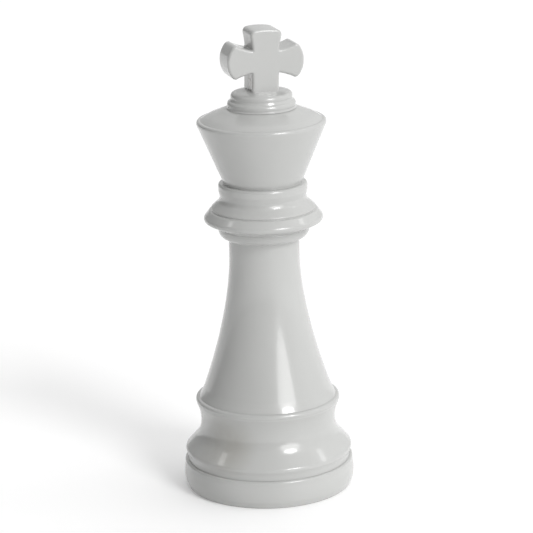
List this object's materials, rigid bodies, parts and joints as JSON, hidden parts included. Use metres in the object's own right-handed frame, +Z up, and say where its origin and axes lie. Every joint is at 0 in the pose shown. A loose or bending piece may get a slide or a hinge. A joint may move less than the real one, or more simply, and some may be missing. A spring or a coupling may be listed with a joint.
{
  "type": "giant chess piece",
  "caption": "Giant lawn chess king in glossy white plastic: hollow sections screwed together over a sand-weighted base.",
  "frame": {"origin": "centre of the foot, on the ground", "axes": "+Z up the axis of the piece, -Y the front of the cross, +X along the side arms of the cross"},
  "size_m": [0.234, 0.234, 0.638],
  "materials": {
    "white_gloss": "glossy",
    "inner_plastic": "satin",
    "rubber": "matte",
    "steel": "zinc plated",
    "brass": "machined",
    "sand": "loose dry sand"
  },
  "bodies": {
    "body": {"base_tray": "white_gloss", "tray_lid": "inner_plastic", "tray_gasket": "rubber", "ballast_sand": "sand", "body_screws": "steel", "bell_shell": "white_gloss", "column_shell": "white_gloss", "neck_socket": "inner_plastic"},
    "cap_washer": {"filler_cap_washer": "rubber"},
    "cap": {"filler_cap": "inner_plastic"},
    "head_washer": {"neck_washer": "rubber"},
    "head": {"head_spigot": "inner_plastic", "collar": "white_gloss", "crown_cup": "white_gloss", "crown_lid": "white_gloss", "finial_button": "white_gloss", "cross_front": "white_gloss", "cross_rear": "white_gloss", "cross_dowels": "inner_plastic", "cross_insert": "brass", "tie_rod": "steel", "tie_nut": "steel", "tie_washer": "steel"}
  },
  "joints": [
    {"name": "head_rise", "type": "slide", "parent": "body", "child": "head_washer", "axis": [0, 0, 1], "range_m": [0, 0.02401]},
    {"name": "head_turn", "type": "hinge", "parent": "head_washer", "child": "head", "pos_m": [0, 0, 0.353], "axis": [0, 0, 1], "range_deg": [0, 720]},
    {"name": "cap_drop", "type": "slide", "parent": "body", "child": "cap_washer", "axis": [0, 0, -1], "range_m": [0, 0.01201]},
    {"name": "cap_turn", "type": "hinge", "parent": "cap_washer", "child": "cap", "pos_m": [0, 0, 0.003], "axis": [0, 0, -1], "range_deg": [0, 1080]}
  ],
  "couplings": [
    {"joint": "head_rise", "follows": "head_turn", "m_per_rad": 0.0019099},
    {"joint": "cap_drop", "follows": "cap_turn", "m_per_rad": 0.00063662}
  ]
}
